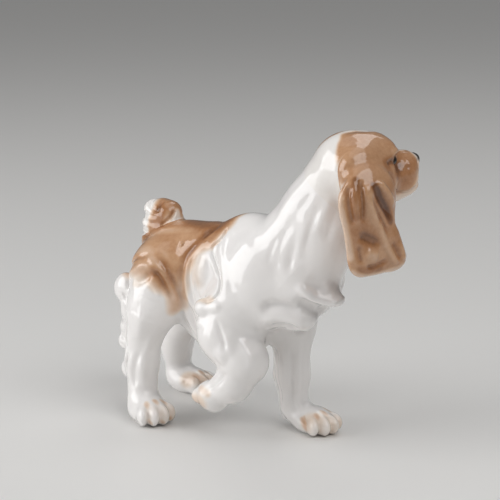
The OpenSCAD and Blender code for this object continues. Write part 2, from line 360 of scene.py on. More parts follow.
def body_combing():
    lines = []
    for points, width, rise, ends in (
            # rear edge of the shoulder cape, and the lobes either side of it
            ([(-1, -9, 97), (-2, -14, 92), (-6, -16, 88), (-3, -18, 83), (4, -22, 76), (6, -25, 70),
              (3, -27, 66), (-3, -28, 65)], 0.9, -1.5, 0.1),
            ([(1, -13, 94), (0, -17, 88), (5, -22, 81), (9, -25, 74), (9, -27, 68)], 2.4, 1.3, 0.25),
            ([(-8, -15, 87), (-9, -19, 81), (-10, -20, 75), (-9, -21, 69)], 3.4, 1.6, 0.3),
            ([(-3, -14, 91), (-5, -17, 85), (-1, -20, 79), (1, -22, 74)], 1.5, 0.9, 0.3),
            # furrows behind the ribs
            ([(-8, -5, 97), (-13, -10, 93), (-17, -15, 87), (-21, -18, 81), (-22, -19, 75), (-23, -19, 68),
              (-24, -17, 61)], 1.7, -1.0, 0.2),
            ([(-13, -16, 85), (-17, -19, 79), (-18, -19, 71), (-17, -18, 62), (-14, -17, 55)],
             1.5, -0.8, 0.3),
            ([(-19, -17, 80), (-20, -19, 72), (-20, -18, 64), (-18, -15, 55)], 1.6, 0.8, 0.3),
            ([(-12, -19, 74), (-14, -19, 66), (-10, -19, 58)], 1.4, -0.6, 0.4),
            # hair of the belly feathering
            ([(-30, -13, 58), (-26, -13, 50), (-20, -12, 43)], 1.3, -0.8, 0.3),
            ([(-22, -15, 60), (-18, -14, 50), (-13, -13, 42)], 1.3, -0.8, 0.3),
            ([(-26, -14, 58), (-21, -14, 49), (-16, -13, 42)], 1.3, 0.6, 0.3),
            # swirls over the hip
            ([(-55, -20, 66), (-51, -24, 70), (-46, -27, 73), (-40, -28, 76), (-35, -27, 76), (-32, -26, 73)],
             1.7, 1.7, 0.2),
            ([(-46, -28, 67), (-41, -28, 68), (-37, -28, 71), (-34, -27, 74)], 2.0, -1.2, 0.3),
            ([(-54, -18, 71), (-48, -23, 77), (-41, -25, 80), (-36, -24, 81)], 1.5, -0.9, 0.3),
            ([(-41, -24, 81), (-36, -25, 79), (-32, -25, 76), (-28, -23, 70), (-26, -20, 62), (-26, -18, 57)],
             1.4, 1.3, 0.2),
            ([(-34, -27, 76), (-30, -25, 71), (-28, -23, 65), (-27, -20, 60)], 1.6, -1.1, 0.25),
            ([(-34, -22, 81), (-29, -22, 75), (-26, -20, 67), (-24, -17, 58)], 1.5, -0.9, 0.25),
            ([(-36, -28, 71), (-32, -27, 67), (-30, -25, 62)], 1.2, 0.9, 0.3),
            ([(-26, -15, 86), (-24.5, -15.5, 86)], 1.2, 1.1, 0.01),
            # long hair down the neck
            ([(47, -10, 129), (42, -12, 123), (36, -13, 116), (31, -14, 109), (27, -14, 103)],
             2.0, 0.4, 0.25),
            ([(52, -10, 126), (48, -12, 119), (43, -14, 111), (38, -15, 103), (34, -16, 95), (31, -17, 88)],
             2.6, -0.4, 0.3),
            ([(57, -9, 121), (56, -10, 114), (53, -12, 106), (50, -13, 98)], 2.0, 0.5, 0.3),
            ([(53, -11, 116), (50, -13, 107), (47, -14, 98), (45, -14, 90)], 1.7, -0.4, 0.3),
            ([(49, -13, 110), (46, -14, 102), (43, -15, 93), (41, -16, 84)], 2.8, 0.6, 0.35),
            ([(41, -15, 104), (38, -17, 96), (36, -17, 88), (36, -18, 80)], 2.2, 0.4, 0.3),
            ([(43, -14, 98), (40, -16, 89), (39, -16, 81)], 1.6, -0.3, 0.3),
            ([(59, -7, 114), (57, -9, 104), (54, -10, 96)], 1.8, -0.4, 0.3),
            ([(33, -16, 100), (30, -17, 92), (29, -18, 84)], 1.6, -0.3, 0.3)):
        lines += both(points, width, rise, ends)
    # tuft on the chest: lower rim, scoop above it, hollow below
    lines += [
        comb([(43, -15.5, 79), (46.5, -14, 75), (50, -10.5, 71), (54, -6, 69.5), (57, -2, 69.5)],
             1.9, 1.7, 0.3),
        comb([(46, -13, 81), (50, -10, 78), (54, -6, 75)], 3.2, -1.0, 0.4),
        comb([(41, -16, 71), (44, -13, 68), (46, -8, 65), (47, -1, 63), (46, 6, 63)], 2.6, -2.4, 0.25),
        comb([(44, 14, 80), (49, 9, 74), (55, 4, 69)], 1.9, 1.5, 0.3),
        comb([(39, 15, 71), (44, 12, 66), (46, 6, 63)], 2.4, -1.8, 0.3),
    ]
    # rolls across the chest under the tuft
    rolls = (([(26, -20, 63), (29, -18, 66), (34, -16, 67.5), (39, -13, 66.5), (42, -10, 64)], 2.2, -1.7),
             ([(26, -19, 57), (30, -18, 60), (35, -16, 61), (40, -13, 60), (43, -8, 58)], 2.4, 1.6),
             ([(28, -15, 53), (32, -14, 55), (37, -13, 56), (40, -9, 55)], 2.2, -1.6),
             ([(33, -11, 52), (36, -10, 53.5), (38, -7, 53)], 1.4, 0.8))
    lines += [comb(points, width, rise) for points, width, rise in rolls]
    lines += [comb(mirrored(points), width, rise) for points, width, rise in rolls]
    return lines + [comb([(28, 2, 49), (31, 5, 49), (34, 8, 50)], 1.6, -1.2),
                    comb([(24, -6, 50), (29, -3, 51)], 1.4, -1.0)]


def leg_combing():
    return [comb(points, width, rise, ends) for points, width, rise, ends in (
        # furrow between thigh and fringe, and the locks of the fringe
        ([(-56, -20, 68), (-53, -24, 61), (-50, -27, 54), (-49, -28, 45), (-50, -28, 37), (-48, -29, 30),
          (-50, -29, 23), (-48, -30, 17)], 0.9, -1.5, 0.1),
        ([(-58, -21, 60), (-55, -24, 56), (-52, -26, 52)], 0.9, -0.8, 0.2),
        ([(-59, -21, 47), (-55, -24, 46), (-52, -26, 48)], 0.9, -0.8, 0.2),
        ([(-58, -22, 38), (-55, -25, 38), (-52, -27, 41)], 0.9, -0.8, 0.2),
        # hock
        ([(-33, -26, 44), (-38, -29, 30), (-37, -30, 18)], 1.8, 0.7, 0.3),
        ([(-40, -30, 36), (-43, -30.5, 25), (-42, -32, 15)], 1.6, -0.7, 0.3),
        ([(-36, -28, 58), (-40, -28, 48), (-42, -28, 38)], 3.0, 0.8, 0.4),
        # left hind leg
        ([(-60, 22, 66), (-58, 26, 52), (-63, 29, 40), (-68, 29, 28), (-69, 29, 18)], 0.9, -1.4, 0.1),
        ([(-54, 21, 36), (-56, 21, 26), (-57, 22, 16)], 1.6, 0.6, 0.3),
        ([(-58, 29, 34), (-62, 30, 24), (-60, 31, 14)], 1.6, -0.6, 0.3),
        # standing foreleg: shin, the furrow behind it and the hair at the back
        ([(27, 8, 46), (27, 8, 28), (27, 8, 15), (30, 6, 9)], 1.5, 0.9, 0.2),
        ([(24, 5, 43), (24, 5.5, 26), (24.5, 6, 11)], 1.4, -1.0, 0.2),
        ([(20, 3.5, 44), (20, 5, 30), (21, 6, 16)], 1.2, 0.6, 0.3),
        ([(16, 4.5, 42), (15.5, 6, 26), (17, 6.5, 10)], 1.2, -0.9, 0.2),
        ([(27, 19, 45), (25, 19, 26), (26, 19, 14)], 1.4, -0.6, 0.3),
        ([(29, 8, 9), (32, 5, 7), (36, 4, 5)], 1.0, -0.8, 0.3),
        # lifted foreleg: knuckle, wrist tendon and hair lines
        ([(20, -27, 52), (24, -24, 43), (23, -25, 35)], 2.0, 0.8, 0.3),
        ([(14, -29, 35), (6, -29, 27), (-1, -28.5, 22)], 1.3, -0.7, 0.3),
        ([(10, -28, 39), (2, -28, 31), (-3, -27, 26)], 1.4, 0.7, 0.3),
        ([(13, -29, 56), (15, -29, 47), (16, -29, 39)], 3.0, 0.8, 0.4),
        ([(8, -30, 60), (10, -30, 55), (13, -30, 49), (14, -30, 43)], 1.2, -0.7, 0.3))]


def head_combing():
    lines = [head_comb([(10, 0, 10), (15, 0, 6.5), (20, 0, 4.5)], 1.6, -0.9, 0.3),
             head_comb([(-8, 0, 15), (0, 0, 16), (8, 0, 14)], 2.0, -0.5, 0.3),
             head_comb([(30.5, 0, -1.5), (30.5, 0, -6), (29, 0, -9)], 0.7, -0.9, 0.2)]
    for s in (-1, 1):
        lines += [head_comb([(x, s * y, z) for x, y, z in points], width, rise, ends)
                  for points, width, rise, ends in (
                      # brow ridge, furrow under it and the corner of the eye
                      ([(9, 12, 5), (11.5, 10.5, 7), (14, 7, 6.5), (15.5, 3.5, 6)], 1.3, 1.0, 0.3),
                      ([(5, 14, 1.5), (8, 13, 2.8), (10.5, 11.5, 3.2)], 0.9, -1.2, 0.3),
                      ([(17, 3, 3), (17, 6, 0.5), (14.5, 9.5, -2), (10, 12.5, -3)], 1.8, -0.6, 0.3),
                      # cheek in front of the ear, lip line, pad of the muzzle
                      ([(5, 15, 0), (7, 14, -5), (8, 13, -11), (6, 12, -16)], 1.5, -1.1, 0.3),
                      ([(30, 2.5, -6), (27, 7, -10.5), (20, 9, -13.5), (12, 10.5, -13)], 0.8, -0.9, 0.15),
                      ([(27, 6, -3), (22, 8.6, -4), (16, 9, -3)], 2.2, 0.5, 0.3),
                      ([(29.5, 3, 1.5), (28, 4.5, -1), (28.5, 4.5, -4)], 0.8, -0.6, 0.3))]
    return lines


def ear_combing():
    lines = [head_comb(points, width, rise, ends) for points, width, rise, ends in (
        # rolled back edge, the slit behind the first lock, the parting in front of it
        ([(-15.5, -13, -5), (-19.5, -17.5, -11), (-19.5, -18.5, -18), (-18, -19, -27), (-17, -19.5, -35)],
         1.6, 0.7, 0.2),
        ([(-17.4, -19.5, -4), (-18, -20, -9.5), (-17.4, -20.6, -15.6), (-16, -21, -22)], 1.1, -1.5, 0.2),
        ([(-14.8, -20.8, -2), (-15.4, -21.4, -9), (-14.6, -22, -16), (-13, -22.2, -23)], 1.2, 1.1, 0.25),
        ([(-12.8, -21.5, -1.5), (-12.8, -22.4, -8.4), (-12.2, -22.8, -15), (-12.4, -22.6, -22)],
         1.1, -1.4, 0.2),
        # broad middle lock with a thin parting
        ([(-10.4, -22.5, -3), (-9.2, -23.5, -11), (-6.6, -23.5, -18), (-4.4, -23.2, -25)], 1.7, 1.4, 0.25),
        ([(-8.6, -23, -7), (-7, -23.5, -13), (-3.6, -23.5, -19), (-0.4, -23, -24), (2, -22.8, -29)],
         1.0, -1.2, 0.25),
        # deep fold and the lock in front of it
        ([(-6.6, -23, -3), (-4.6, -24, -8.8), (-1.4, -24, -13.4), (1.8, -22.8, -18), (3.4, -22, -22)],
         2.0, -2.0, 0.35),
        ([(-5, -22.5, -2), (-2, -23.4, -6.2), (2, -22.4, -11), (5, -21.8, -16)], 1.4, 1.7, 0.25),
        # long ridge running down to the front corner, and the hollow behind it
        ([(-3.6, -23.5, -19), (-2.6, -23.3, -25), (-0.6, -23.3, -30), (1.8, -23.2, -34), (5, -22.4, -39),
          (7, -22, -42)], 1.4, 1.9, 0.2),
        ([(-14.5, -21.6, -25), (-10, -22.6, -27.5), (-5.4, -22.8, -30), (-3, -22.8, -33)], 2.6, -1.8, 0.3),
        ([(4, -22.8, -30), (6, -22.5, -35.5), (8.2, -22, -40)], 1.5, -1.1, 0.3),
        ([(7.5, -22.4, -31), (9.4, -22.4, -36), (9.4, -22, -40)], 1.3, 1.3, 0.25),
        # bumps along the lower edge
        ([(-10.5, -22.4, -33.5), (-6.5, -22.6, -35.5), (-3, -22.6, -36.5)], 2.3, 1.9, 0.3),
        ([(-13, -22, -30), (-13, -22, -35), (-11.5, -22, -40)], 1.2, -1.2, 0.3),
        ([(-10, -22, -40), (-6, -22.4, -41.2), (-1, -22.4, -40), (2, -22.4, -38)], 1.2, -1.3, 0.25),
        # inner face, seen from the front
        ([(2, -15, -8), (3, -14.5, -18), (1, -14.5, -30), (3, -14.5, -41)], 1.4, 0.8, 0.3),
        ([(-4, -14.5, -12), (-5, -14.5, -24), (-4, -14.5, -38)], 1.3, -0.8, 0.3))]
    # left ear, hanging flatter against the neck
    for points, width, rise in (
            ([(53, 18, 126), (55, 20, 116), (53, 22, 104), (48, 23, 94)], 1.4, 1.2),
            ([(51, 20, 127), (52, 22, 116), (50, 24, 104), (46, 25, 95)], 1.1, -1.3),
            ([(48, 21, 128), (49, 24, 116), (47, 25, 105), (43, 26, 94)], 1.4, 1.4),
            ([(46, 21, 127), (46, 24, 115), (43, 26, 104), (40, 26, 93)], 1.1, -1.3),
            ([(43, 21, 126), (42, 24, 114), (39, 26, 104), (37, 26, 94)], 1.5, 1.3),
            ([(40, 20, 123), (38, 23, 112), (35, 25, 103), (33, 25, 94)], 1.0, -1.6),
            ([(37, 19, 119), (34, 22, 110), (31, 24, 102), (30, 24, 95)], 1.2, 1.2),
            ([(45, 25, 100), (42, 26, 97), (38, 26, 96)], 1.0, -0.9)):
        lines.append(comb(points, width, rise, 0.2))
    return lines


def tail_combing():
    lines = []
    for side in (-1, 1):
        for x, z, tilt in ((-58, 86, 2), (-57.5, 89.5, 2), (-57, 93, 1.5), (-56, 96.5, 1), (-54, 100, 0)):
            lines.append(comb([(x + 9, side * 8, z - 2 + tilt), (x + 4, side * 8, z - 1), (x, side * 5, z),
                               (x - 2, side * 0.5, z + 1)], 1.0, -0.7, 0.25))
        lines.append(comb([(-46, side * 8, 91), (-42, side * 6, 95), (-41, side * 2, 99)], 0.9, -1.0, 0.2))
        lines.append(comb([(-50, side * 8, 96), (-48, side * 6, 100), (-48, side * 2, 103)],
                          1.0, -0.7, 0.3))
    return lines


CLAY = trunk() + head() + ear_right() + ear_left() + foreleg_right() + foreleg_left() + \
    hind_leg_right() + hind_leg_left() + tail()
COMBING = [laid_on_skin(line, CLAY) for line in combing()]


# ---------------- from clay to mesh

def in_scene(name, data):
    thing = bpy.data.objects.new(name, data)
    bpy.context.scene.collection.objects.link(thing)
    return thing


def as_object(name, mesh_tool):
    mesh = bpy.data.meshes.new(name)
    mesh_tool.to_mesh(mesh)
    mesh_tool.free()
    return in_scene(name, mesh)


def applied(thing):
    """The object with its modifiers made real."""
    graph = bpy.context.evaluated_depsgraph_get()
    mesh = bpy.data.meshes.new_from_object(thing.evaluated_get(graph), depsgraph=graph)
    thing.modifiers.clear()
    old = thing.data
    thing.data = mesh
    bpy.data.meshes.remove(old)
    return thing


def rough_lumps(clay):
    """Every lump as a plain closed form, in metres."""
    tool = bmesh.new()
    for lump in clay:
        if lump["dig"]:
            continue
        if lump["kind"] == "ball":
            place = Matrix.Translation(Vector(lump["at"])) @ Matrix(lump["turn"].tolist()).to_4x4() \
                @ Matrix.Diagonal((*lump["size"], 1))
            bmesh.ops.create_icosphere(tool, subdivisions=3, radius=1,
                                       matrix=Matrix.Scale(MM, 4) @ place)
            continue
        squeeze = Matrix.Identity(4)
        if lump["flat"] is not None:
            squeeze = Matrix.Scale(lump["flat"][1], 4, Vector(lump["flat"][0]))
        place = Matrix.Scale(MM, 4) @ Matrix.Translation(Vector(lump["a"])) @ squeeze
        reach = squeeze.to_3x3().inverted() @ Vector(lump["b"] - lump["a"])
        bmesh.ops.create_icosphere(tool, subdivisions=3, radius=lump["ra"], matrix=place)
        bmesh.ops.create_icosphere(tool, subdivisions=3, radius=lump["rb"],
                                   matrix=place @ Matrix.Translation(reach))
        bmesh.ops.create_cone(tool, cap_ends=True, segments=24, radius1=lump["ra"], radius2=lump["rb"],
                              depth=reach.length, matrix=place @ Matrix.Translation(reach / 2)
                              @ reach.to_track_quat("Z", "Y").to_matrix().to_4x4())
    return as_object("clay", tool)


def remeshed(thing, size):
    cut = thing.modifiers.new("grain", "REMESH")
    cut.mode = "VOXEL"
    cut.voxel_size = size * MM
    return applied(thing)


def points_of(mesh):
    out = np.empty(len(mesh.vertices) * 3)
    mesh.vertices.foreach_get("co", out)
    return out.reshape(-1, 3)


def pressed(thing, clay, combing, rounds):
    at = press_to_form(points_of(thing.data) * 1000, clay, combing, rounds)
    thing.data.vertices.foreach_set("co", (at * MM).ravel())
    thing.data.update()
    return thing


def shifted(thing):
    """The mesh moved from the clay's origin to the part's own."""
    thing.data.vertices.foreach_set("co", (points_of(thing.data) + SHIFT * MM).ravel())
    thing.data.update()
    return thing


def whole_figure():
    figure = remeshed(rough_lumps(CLAY), ROUGH_GRAIN)
    pressed(figure, CLAY, COMBING, rounds=4)
    remeshed(figure, GRAIN)
    return shifted(pressed(figure, CLAY, COMBING, rounds=3))


figure = whole_figure()


# ---------------- parting the pieces

def knife(name, tool):
    """A cutting block whose faces are marked, so that what it cuts can be told from the skin."""
    mark = tool.faces.layers.int.new("cut")
    for face in tool.faces:
        face[mark] = 1
    return as_object(name, tool)


def block(name, at, size, turn=(0, 0, 0), ahead=(0, 0, 0)):
    """A cutting block turned about a point, then moved ahead in its own frame."""
    tool = bmesh.new()
    place = Matrix.Translation(Vector(np.array(at) + SHIFT)) @ Matrix(turned(*turn).tolist()).to_4x4() \
        @ Matrix.Translation(Vector(ahead)) @ Matrix.Diagonal((*size, 1))
    bmesh.ops.create_cube(tool, size=1, matrix=Matrix.Scale(MM, 4) @ place)
    return knife(name, tool)


def between(name, low, high):
    low, high = np.array(low, float), np.array(high, float)
    return block(name, (low + high) / 2, high - low)


def extruded(name, across, outline):
    """A cutting block with this outline seen from the side, reaching from one y to the other."""
    tool = bmesh.new()
    rings = [[tool.verts.new((Vector((x, y, z)) + Vector(SHIFT)) * MM) for x, z in outline]
             for y in across]
    tool.faces.new(rings[0])
    tool.faces.new(rings[1][::-1])
    for i in range(len(outline)):
        tool.faces.new((rings[0][i - 1], rings[1][i - 1], rings[1][i], rings[0][i]))
    bmesh.ops.recalc_face_normals(tool, faces=tool.faces[:])
    return knife(name, tool)


def grown(lumps, by):
    """Ear clay grown all round, for the seam where the ear was luted on."""
    out = []
    for lump in lumps:
        across, amount = lump["flat"]
        mean = (lump["ra"] + lump["rb"]) / 2
        amount = (mean * amount + by) / (mean + by)
        out.append(stick(lump["a"], lump["b"], lump["ra"] + by, lump["rb"] + by, 5, (across, amount)))
    return out


def ear_seam(name, lumps):
    """A cutter 2.5 mm larger all round than the ear, with 2 mm facets."""
    clay = grown(lumps, 2.5)
    thing = shifted(pressed(remeshed(rough_lumps(clay), 2), clay, [], rounds=4))
    mark = thing.data.attributes.new("cut", "INT", "FACE")
    mark.data.foreach_set("value", [1] * len(thing.data.polygons))
    thing.name = name
    return thing


def without_crumbs(piece):
    """Keeps the one whole lump and drops slivers left where two seams cross."""
    tool = bmesh.new()
    tool.from_mesh(piece.data)
    lumps, seen = [], set()
    for first in tool.faces:
        if first not in seen:
            lump, waiting = [], [first]
            seen.add(first)
            while waiting:
                face = waiting.pop()
                lump.append(face)
                beside = {other for edge in face.edges for other in edge.link_faces} - seen
                seen |= beside
                waiting += beside
            lumps.append(lump)
    for lump in sorted(lumps, key=len)[:-1]:
        bmesh.ops.delete(tool, geom=lump, context="FACES")
    tool.to_mesh(piece.data)
    tool.free()
    return piece


def parted(name, *cuts):
    """A piece cut from the whole figure: + keeps what lies in a block, - takes it away."""
    piece = in_scene(name, figure.data.copy())
    for way, tool in cuts:
        cut = piece.modifiers.new("seam", "BOOLEAN")
        cut.operation = "INTERSECT" if way == "+" else "DIFFERENCE"
        cut.solver = "MANIFOLD"
        cut.object = tool
    return without_crumbs(applied(piece))


FLOOR_LINE = 0.0
head_block = block("head block", (50, 4, 118), (140, 140, 120), (0, 38, 11), (0, 0, 60))
foreleg_right_block = between("right foreleg block", (-14, -60, -5), (36, -10, 56))
foreleg_left_block = between("left foreleg block", (10, 2, FLOOR_LINE), (55, 42, 50))
hind_leg_right_block = extruded("right hind leg block", (-60, -8.5), (
    (-90, FLOOR_LINE), (-20, FLOOR_LINE), (-20, 20), (-27, 26), (-27, 48), (-90, 48)))
hind_leg_left_block = between("left hind leg block", (-90, 5, FLOOR_LINE), (-27, 58, 48))
tail_block = block("tail block", (-50, 0, 89), (52, 40, 30), (0, -27, 0), (-6, 0, 15))
ear_right_seam = ear_seam("right ear seam", ear_right())
ear_left_seam = ear_seam("left ear seam", ear_left())
below = between("below", (-150, -150, -60), (150, 150, FLOOR_LINE))
VENT_AT, VENT_RADIUS, VENT_DEPTH = (-12, 0, 36), 1.5, 20
vent_tool = bmesh.new()
bmesh.ops.create_cone(vent_tool, cap_ends=True, segments=32, radius1=VENT_RADIUS * MM,
                      radius2=VENT_RADIUS * MM, depth=VENT_DEPTH * MM,
                      matrix=Matrix.Translation((Vector(VENT_AT) + Vector(SHIFT)) * MM))
vent = knife("vent drill", vent_tool)

pieces = {
    "torso": parted("torso", *(("-", tool) for tool in (
        head_block, ear_right_seam, ear_left_seam, foreleg_right_block, foreleg_left_block,
        hind_leg_right_block, hind_leg_left_block, tail_block, below, vent))),
    "head": parted("head", ("+", head_block), ("-", ear_right_seam), ("-", ear_left_seam)),
    "ear_right": parted("ear_right", ("+", ear_right_seam)),
    "ear_left": parted("ear_left", ("+", ear_left_seam)),
    "foreleg_right": parted("foreleg_right", ("+", foreleg_right_block)),
    "foreleg_left": parted("foreleg_left", ("+", foreleg_left_block)),
    "hind_leg_right": parted("hind_leg_right", ("+", hind_leg_right_block)),
    "hind_leg_left": parted("hind_leg_left", ("+", hind_leg_left_block)),
    "tail": parted("tail", ("+", tail_block)),
}
for thing in (figure, head_block, foreleg_right_block, foreleg_left_block, hind_leg_right_block,
              hind_leg_left_block, tail_block, ear_right_seam, ear_left_seam, below, vent):
    bpy.data.objects.remove(thing)


# ---------------- spraying and painting

def stroke(points, width, soft, strength=1.0):
    """A pass of the airbrush or the brush, in clay millimetres: full within width, faded out over soft."""
    return {"points": np.array(points, float), "width": width, "soft": soft, "strength": strength}


def laid_on(at, strokes):
    """How much colour lies at each point, from 0 to 1; each pass covers part of what is bare."""
    bare = np.ones(len(at))
    for s in strokes:
        points = s["points"]
        lo, hi = points.min(0) - s["width"] - s["soft"], points.max(0) + s["width"] + s["soft"]
        near = np.flatnonzero(((at > lo) & (at < hi)).all(1))
        if len(near):
            gap = along_line(points, at[near])[0] if len(points) > 1 \
                else np.linalg.norm(at[near] - points[0], axis=1)
            t = np.clip(1 - (gap - s["width"]) / s["soft"], 0, 1)
            bare[near] *= 1 - s["strength"] * t * t * (3 - 2 * t)
    return 1 - bare


def head_stroke(points, width, soft, strength=1.0):
    return stroke([on_head(*p) for p in points], width, soft, strength)


def both_sides(points, width, soft, strength=1.0):
    return [stroke(line, width, soft, strength) for line in (mirrored(points), points)]


def both_cheeks(points, width, soft, strength=1.0):
    return [head_stroke(line, width, soft, strength) for line in (mirrored(points), points)]


SADDLE = [stroke([(-9, 0, 100), (-18, 0, 97), (-32, 0, 94), (-48, 0, 91), (-58, 0, 84)], 7, 7, 0.92)] + \
    both_sides([(-12, -11, 92), (-21, -13, 88), (-36, -16, 85), (-50, -13, 82)], 4, 7, 0.84) + \
    both_sides([(-3, -8, 98), (-12, -11, 92)], 1.5, 5.5, 0.7) + \
    both_sides([(-22, -17, 82), (-27, -20, 76), (-31, -23, 71)], 3.2, 6.5, 0.74) + \
    both_sides([(-36, -25, 77), (-46, -24, 76), (-56, -17, 73)], 2.6, 6.5, 0.74) + \
    both_sides([(-24, -19, 74), (-24, -18, 66), (-25, -17, 58)], 0.6, 5, 0.42) + \
    both_sides([(-29, -23, 70), (-27, -20, 62), (-28, -19, 56)], 0.8, 4.5, 0.46) + \
    both_sides([(-21, -18, 76), (-21, -18, 68), (-22, -16, 62)], 0.4, 3.5, 0.36) + \
    both_sides([(-12, -18, 82), (-13, -20, 72)], 1, 6, 0.14) + \
    both_sides([(-4, -27, 66), (2, -27, 66)], 0.5, 3, 0.2) + \
    [stroke([(-58, 0, 84), (-62, 0, 74)], 8, 7, 0.7)]
CAP = [head_stroke([(0, 0, 2), (10, 0, 3)], 17, 3, 0.9),
       head_stroke([(8, 0, -3), (24, 0, -5)], 12, 3, 0.9)]
EAR = [stroke([(60, 0, 150), (50, 0, 80)], 80, 5, 0.9)]
DOCK = [stroke([(-53, 0, 84), (-49, 0, 92), (-45, 0, 101)], 5.5, 4, 0.95)] + \
    both_sides([(-50, -8, 90), (-47, -7, 98)], 2.5, 3, 0.8)
# places left bare: blaze over the skull and down the muzzle, nape, lips
BLAZE = [head_stroke([(-14, 2.5, 12), (-8, 3, 16), (0, 2.5, 17), (7, 1, 15)], 1.2, 2.4, 0.95),
         head_stroke([(-19, -7, -14), (-20.5, -7, 0), (-18.5, -1, 9), (-14, 2.5, 13)], 3.6, 2.8, 1),
         head_stroke([(-19, 9, -14), (-20.5, 9, 0), (-17.5, 6, 9), (-14, 2.5, 13)], 3.6, 2.8, 1),
         head_stroke([(-17, 1, 8), (-18, 0, 0), (-16, -1, -8), (-14, -1, -15)], 4.6, 2.5, 1),
         head_stroke([(7, 0.5, 15), (15, 0, 9), (22, 0, 5)], 0.8, 2.4, 0.9),
         head_stroke([(29, 0, 1), (31, 0, -5), (28, 0, -11)], 3.6, 2.6, 0.85)] + \
    both_cheeks([(28, -5, -7), (24, -6, -13), (16, -6, -16)], 1.5, 2.6, 0.7)
EAR_RIM = [head_stroke([(-15, -12, -6), (-20.5, -17, -10), (-20, -18, -18), (-18.5, -19, -27),
                        (-17, -20, -36)], 0.8, 2.4, 0.5),
           head_stroke([(-15, -20, -44), (-8, -20, -47), (2, -20, -46), (9, -20, -42)], 1.2, 2, 0.45)]
DOCK_EDGE = both_sides([(-58, -7, 84), (-60, -6, 92), (-58, -6, 100)], 4, 3, 0.9) + \
    [stroke([(-40, -4, 90), (-39, -2, 98)], 1.5, 2, 0.8),
     stroke([(-62, 0, 86), (-60, 0, 98)], 2.5, 2.5, 0.7)]
# deeper colour: a real deeper tone along the spine, at the tail and on the muzzle, and painted shade in the
# furrows behind the ribs, in the hollows of the hip, round the eye, in the groove before the ear and in the
# ear's folds
DEEP_TONE_AND_PAINTED_SHADE = [stroke([(-8, -6, 98), (-18, -4, 97), (-30, 0, 95)], 2.5, 7, 0.6)] + \
    both_sides([(-47, -8, 90), (-46, -8, 97), (-49, -7, 101)], 1, 4, 0.5) + \
    both_cheeks([(27, -7, -3), (20, -9, -5)], 3, 4, 0.2) + \
    both_sides([(-13, -10, 93), (-17, -15, 87), (-21, -18, 81)], 0.8, 3.5, 0.3) + \
    both_sides([(-33, -26, 75), (-30, -24, 70), (-27, -22, 64)], 0.6, 3, 0.5) + \
    both_sides([(-44, -27, 67), (-37, -28, 70), (-34, -27, 74)], 0.6, 3, 0.45) + \
    both_sides([(-34, -22, 81), (-29, -22, 76), (-26, -20, 67)], 0.8, 2.5, 0.5) + \
    both_cheeks([(4, -14, 2.5), (10, -12.5, 3.2)], 0.8, 2.6, 0.8) + \
    both_cheeks([(5, -15, 0), (8, -13, -10)], 1.5, 3, 0.6) + \
    both_cheeks([(16, -9, 0), (12, -12, -3)], 1.5, 3, 0.6) + [
        # painted shade in the folds and hollows of the right ear
        head_stroke([(-7, -23, -5), (-4, -24, -11), (1.2, -22.8, -17.5), (3, -22, -21)], 1.2, 1.8, 1),
        head_stroke([(-14.5, -20.5, -2), (-15.8, -21.6, -9), (-14.5, -22, -18)], 0.9, 1.6, 0.8),
        head_stroke([(5, -21, -8), (6.5, -21, -20), (4, -22, -30)], 1.5, 5, 0.2),
        head_stroke([(-12, -22, -24), (-6, -22, -30)], 2, 5, 0.25),
        head_stroke([(-12, -22, -42), (-2, -22, -43)], 0.8, 2.5, 0.6)]
# thin tan wash over the toes and fine tan lines between them
WASH, LINE = (1.4, 4.8), (0.21, 1.76)   # width and softness of a brush
TOES = [stroke(points, *brush, strength) for brush, points, strength in (
    ((1.75, 5.6), [(36, 6, 6), (41, 11, 5), (42, 16, 4)], 0.24),
    ((0.28, 1.92), [(31, 5, 8), (34, 4, 4)], 0.45),
    (LINE, [(36, 8, 12), (40, 7, 4)], 0.45), (LINE, [(37, 12, 12), (43, 12, 4)], 0.45),
    (LINE, [(35, 17, 12), (41, 17, 4)], 0.45),
    (WASH, [(-31, -32, 6), (-27, -28, 6), (-26, -23, 6)], 0.165),
    (LINE, [(-34, -32, 12), (-29, -34, 3)], 0.375),
    (LINE, [(-32, -28, 12), (-26, -29, 3)], 0.45), (LINE, [(-31, -24, 12), (-26, -24, 3)], 0.45),
    (WASH, [(-52, 18, 8), (-47, 21, 8), (-46, 27, 6)], 0.3), (LINE, [(-50, 20, 11), (-45, 21, 3)], 0.45),
    (LINE, [(-50, 25, 11), (-45, 25, 3)], 0.45), (LINE, [(-50, 29, 10), (-46, 29, 3)], 0.375),
    (WASH, [(-3, -29, 17), (-9, -25, 16), (-8, -20, 15)], 0.2625),
    (LINE, [(-2, -27, 20), (-10, -24, 17)], 0.525), (LINE, [(-3, -22, 20), (-10, -21, 16)], 0.525),
    ((0.28, 2.56), [(2, -29, 22), (-4, -28, 24)], 0.225))]
NOSE = [head_stroke([(30.5, 0, 1), (32, 0, 0.5)], 3.6, 0.8, 1)]
EYES = both_cheeks([(13.2, -10.2, 2.4)], 1.9, 0.5, 1)
PAINT = {  # sprayed, then left bare, by piece
    "torso": (SADDLE, []), "head": (CAP, BLAZE), "ear_right": (EAR, EAR_RIM), "ear_left": (EAR, []),
    "tail": (DOCK, DOCK_EDGE),
    "foreleg_right": (TOES + SADDLE, []), "foreleg_left": (TOES, []),
    "hind_leg_right": (TOES + SADDLE, []), "hind_leg_left": (TOES + SADDLE, []),
}


